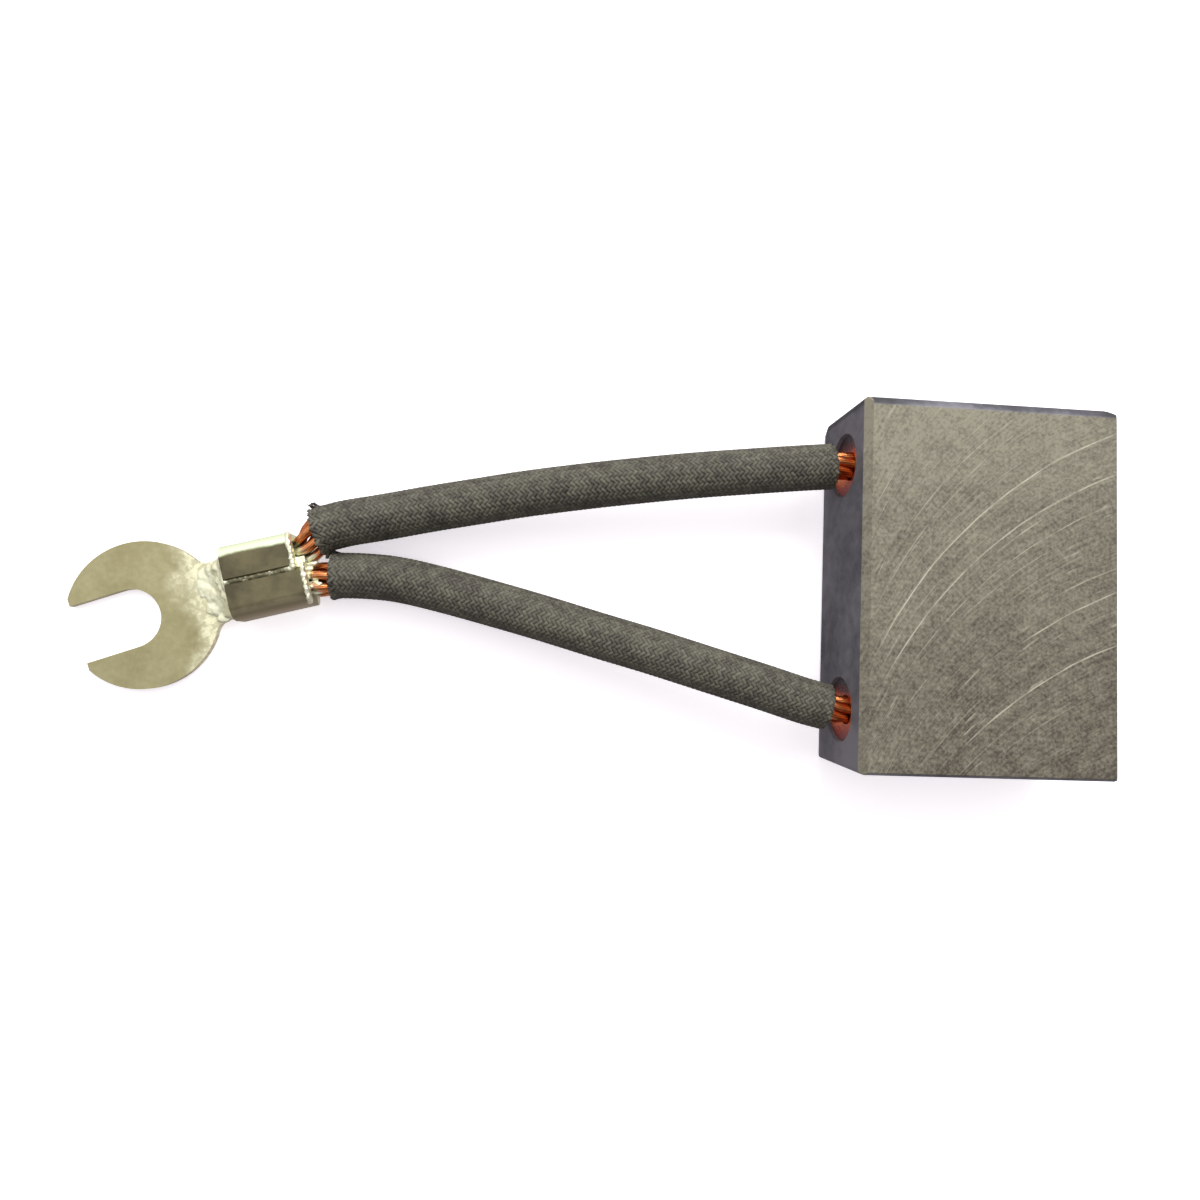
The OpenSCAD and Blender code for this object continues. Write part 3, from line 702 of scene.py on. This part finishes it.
# Freckles of bare tin show through it
freckles = add(tin_tree, RANGE, tin_fine, 0.42, 0.56, 1.0, 0.5)
film = add(tin_tree, MATH, film, freckles, operation="MULTIPLY")
off_barrel = add(tin_tree, MATH, 1.0, on_barrel, operation="SUBTRACT")
film = add(tin_tree, MATH, film, off_barrel, operation="MULTIPLY")
tin_colour = add(tin_tree, MIX, data_type="RGBA", sockets={
    "Factor": film, "A": tin_colour, "B": linear("#fffcdc")})
tin_rough = add(tin_tree, MATH, film, 0.2, 0.42, operation="MULTIPLY_ADD")
tin_rough = add(tin_tree, MATH, on_barrel, 0.18, tin_rough, operation="MULTIPLY_ADD")
film_height = add(tin_tree, MATH, film, 0.8, tin_tone, operation="MULTIPLY_ADD")
tin_bump = add(tin_tree, "ShaderNodeBump", sockets={
    "Strength": 0.3, "Distance": 0.00005, "Height": film_height})
shaded(tin_tree, Base_Color=tin_colour, Metallic=1.0, Roughness=tin_rough, Normal=tin_bump)

# %% [markdown]
# ## Solder
#
# Both ends of the barrel were flooded with soft solder. It froze in lumps: a blob that runs out
# on the neck, a rim along the mouth, and a thin line in the seam, dulled but for a few specks.
# The lumps are built from a copy of the CAD solid and many small drops, made into one skin by a
# voxel remesh, and then pushed in and out by noise.

# %% Material of the solder
soft_solder, solder_tree = new_material("bright soft solder, dulled by flux in the seam")
solder_place, solder_at = stations(solder_tree)
solder_cloud = add(solder_tree, NOISE, out="Fac", sockets={
    "Vector": solder_place, "Scale": 700.0, "Detail": 4.0})
solder_node = add(solder_tree, RAMP, solder_cloud, out=None)
set_stops(solder_node, (0.3, "#f4f1d2"), (0.6, "#fffee4"))
in_seam = add(solder_tree, MATH, solder_cloud, -0.0012, solder_at["X"], operation="MULTIPLY_ADD")
in_seam = add(solder_tree, RANGE, in_seam, 0.0093, 0.0096)
before_mouth = add(solder_tree, RANGE, solder_at["X"], 0.0154, 0.015)
in_seam = add(solder_tree, MATH, in_seam, before_mouth, operation="MULTIPLY")
speck = add(solder_tree, RANGE, solder_cloud, 0.64, 0.7, 1.0, 0.0)
in_seam = add(solder_tree, MATH, in_seam, speck, operation="MULTIPLY")
solder_colour = add(solder_tree, MIX, data_type="RGBA", sockets={
    "Factor": in_seam, "A": solder_node.outputs[0], "B": linear("#7a765f")})
solder_bump = add(solder_tree, "ShaderNodeBump", sockets={
    "Strength": 0.25, "Distance": 0.00005, "Height": solder_cloud})
shaded(solder_tree, Base_Color=solder_colour, Metallic=1.0, Roughness=0.55, Normal=solder_bump)

# %% Solder pieces
BARREL_ROTATION = Quaternion((0.0, 0.0, 1.0), BARREL_TURN)


def on_the_barrel(along, across, up):
    """A point of the barrel's own frame, in millimetres, in the shared frame in metres."""
    place = Vector((along / 1000 - BEND_AT, across / 1000, up / 1000))
    return BEND_PLACE + BARREL_ROTATION @ place


def lumpy(name, node_name, drops, voxel, height, size):
    """The CAD node's solid with drops (place, three radii in millimetres) melted into it."""
    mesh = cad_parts[node_name].data.copy()
    mesh.name = name
    work = bmesh.new()
    work.from_mesh(mesh)
    bmesh.ops.remove_doubles(work, verts=work.verts, dist=1e-6)
    for place, radii in drops:
        ball = bmesh.ops.create_icosphere(work, subdivisions=2, radius=1.0)["verts"]
        for vert in ball:
            shape = Vector(c * r / 1000 for c, r in zip(vert.co, radii))
            vert.co = on_the_barrel(*place) + BARREL_ROTATION @ shape
    work.to_mesh(mesh)
    work.free()
    mesh.materials.clear()
    mesh.materials.append(soft_solder)
    piece = bpy.data.objects.new(name, mesh)
    scene.collection.objects.link(piece)
    remesh = piece.modifiers.new("skin", "REMESH")
    remesh.mode, remesh.voxel_size, remesh.use_smooth_shade = "VOXEL", voxel, True
    evaluated = piece.evaluated_get(bpy.context.evaluated_depsgraph_get())
    piece.data = bpy.data.meshes.new_from_object(evaluated)
    piece.modifiers.clear()
    mesh = piece.data
    normals = [v.normal.copy() for v in mesh.vertices]
    for vert, normal in zip(mesh.vertices, normals):
        wave = noise.fractal(vert.co * 1000 / size, 0.8, 2.0, 3)
        vert.co += normal * wave * height
        vert.co.z = max(vert.co.z, 0.0002)
    mesh.update()
    print(f"{name}: {len(mesh.polygons)} faces")
    return piece


rng = np.random.default_rng(7)
front_drops = [((7.2, 0.6, 0.75), (1.3, 1.5, 0.09)), ((7.7, -1.4, 0.76), (1.2, 1.1, 0.12)),
               ((7.5, 1.6, 0.76), (1.2, 0.9, 0.12)), ((9.0, 2.5, 0.9), (0.9, 0.5, 0.35)),
               ((9.2, -2.5, 0.9), (0.8, 0.5, 0.4)), ((9.5, 1.9, 2.3), (0.5, 0.9, 0.8)),
               ((9.5, -1.6, 2.1), (0.5, 1.0, 0.9)), ((9.6, 0.2, 2.9), (0.45, 1.3, 0.7)),
               ((9.6, -2.6, 1.6), (0.35, 0.5, 0.8)), ((9.6, 2.7, 1.5), (0.3, 0.45, 0.8))]
for _ in range(16):
    along, across = rng.uniform(7.2, 9.7), rng.uniform(-2.6, 2.6)
    lift = 0.8 + 0.24 * max(along - 7.2, 0) ** 1.9
    front_drops.append(((along, across, lift), (rng.uniform(0.4, 0.9),
                                                rng.uniform(0.4, 0.9), 0.1)))
front = lumpy("solder_on_neck", "front_solder", front_drops, 0.00009, 0.00004, 0.6)

# Centre and outer radius of the ears' bend, and where each ear ends along the barrel
EAR_BEND_ACROSS, EAR_BEND_UP, EAR_BEND_RADIUS = 2.2, 2.95, 1.15
PLUS_Y_EAR_END, MINUS_Y_EAR_END = 15.72, 16.42
# A bead along the rim of each ear: flat over the rope, then down round the bend
mouth_drops = []
for side, end in ((1, PLUS_Y_EAR_END), (-1, MINUS_Y_EAR_END)):
    for across in np.arange(0.15, 3.15, 0.13):
        round_bend = max(across - EAR_BEND_ACROSS, 0.0)
        over_bend = math.sqrt(max(EAR_BEND_RADIUS ** 2 - round_bend ** 2, 0.0))
        height = EAR_BEND_UP + over_bend - 0.12
        mouth_drops.append(((end + rng.uniform(0.0, 0.1), side * across, height),
                            (rng.uniform(0.2, 0.27), 0.22, rng.uniform(0.18, 0.26))))
# A thin line of it in the seam between the ears
for along in np.arange(9.9, 15.8, 0.22):
    mouth_drops.append(((along, rng.uniform(-0.04, 0.04), 3.92 + rng.uniform(0.0, 0.05)),
                        (0.24, rng.uniform(0.22, 0.26), 0.13)))
# Solder that has wetted the strands of the -Y rope just outside the mouth
for _ in range(16):
    mouth_drops.append(((rng.uniform(16.5, 17.5), rng.uniform(-2.3, 0.1),
                         2.95 + rng.uniform(0.0, 0.3)),
                        (rng.uniform(0.3, 0.6), rng.uniform(0.16, 0.28), 0.2)))
mouth = lumpy("solder_at_mouth", "mouth_solder", mouth_drops, 0.00008, 0.00006, 0.3)

# %% [markdown]
# ## Dress the CAD nodes and say what rides on what
#
# The block, the tampings and the terminal keep their CAD shape and get their materials. The
# strands, the braids and the solder stand for their plain solids: each is attached to the root
# body, and the CAD solid that it stands for is hidden.

# %% Dress and attach
for node_name, material in (("carbon_block", graphite), ("upper_tamping", tamped),
                            ("lower_tamping", tamped), ("fork_terminal", tinned_brass)):
    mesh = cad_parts[node_name].data
    mesh.materials.clear()
    mesh.materials.append(material)

for piece, node_name, slot in ((upper_strands, "upper_rope", "copper"),
                               (lower_strands, "lower_rope", "copper"),
                               (upper_braid, "upper_sleeve", "sleeve"),
                               (lower_braid, "lower_sleeve", "sleeve"),
                               (front, "front_solder", "solder"),
                               (mouth, "mouth_solder", "solder")):
    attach(piece, "root")
    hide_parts(node_name)

length_of(UPPER_ROUTE)
length_of(LOWER_ROUTE)

# %% [markdown]
# ## Floor, world and lamps
#
# The brush lies on a plain white table under a soft lamp. The floor takes the soft shadow, and
# for the camera alone it glows a little, so that it comes out white without more light on the
# brush. The lamp stands on the +Y side, which lights the upper flanks of the sleeves and lays
# the shadows towards -Y.

# %% Stage and light
floor_mesh = bpy.data.meshes.new("floor")
half = 1.5
floor_mesh.from_pydata([(-half, -half, 0), (half, -half, 0), (half, half, 0), (-half, half, 0)],
                       [], [(0, 1, 2, 3)])
floor = bpy.data.objects.new("floor", floor_mesh)
floor.location.z = -0.00002
scene.collection.objects.link(floor)
paper, paper_tree = new_material("matt white table")
paper_rays = add(paper_tree, "ShaderNodeLightPath", out=None).outputs
glow = add(paper_tree, MATH, paper_rays["Is Camera Ray"],
           paper_rays["Is Glossy Ray"], operation="MAXIMUM")
glow = add(paper_tree, MATH, glow, 0.55, operation="MULTIPLY")
paper_colour = add(paper_tree, MIX, data_type="RGBA", sockets={
    "Factor": paper_rays["Is Camera Ray"], "A": linear("#463b43"), "B": (1, 1, 1, 1)})
white = add(paper_tree, "ShaderNodeBsdfDiffuse", paper_colour)
shine = add(paper_tree, "ShaderNodeEmission", linear("#fff8ff"), glow)
add(paper_tree, "ShaderNodeOutputMaterial", add(paper_tree, "ShaderNodeAddShader", white, shine),
    out=None)
floor_mesh.materials.append(paper)

world = bpy.data.worlds.new("studio")
scene.world = world
world.use_nodes = True
sky = world.node_tree
sky.nodes.clear()
rays = add(sky, "ShaderNodeLightPath", out=None).outputs
direction = add(sky, "ShaderNodeTexCoord", out="Generated")
towards = add(sky, VECTOR_MATH, direction, (-0.1, 0.7, 0.7), operation="DOT_PRODUCT", out="Value")
soft = add(sky, RANGE, towards, -0.1, 0.8, 0.12, 1.05)
level = add(sky, MATH, soft, rays["Is Camera Ray"], operation="MAXIMUM")
add(sky, "ShaderNodeOutputWorld", add(sky, "ShaderNodeBackground", (1, 1, 1, 1), level),
    out=None)

lamp_data = bpy.data.lights.new("soft lamp", "AREA")
lamp_data.shape, lamp_data.size, lamp_data.energy = "DISK", 0.35, 2.3
lamp = bpy.data.objects.new("soft lamp", lamp_data)
lamp.location = (0.05, 0.42, 0.42)
aim = Vector((-0.03, 0.0, 0.0)) - lamp.location
lamp.rotation_euler = aim.to_track_quat("-Z", "Y").to_euler()
scene.collection.objects.link(lamp)
scene.view_settings.view_transform = "Standard"

# %% Finish
bpy.context.view_layer.update()
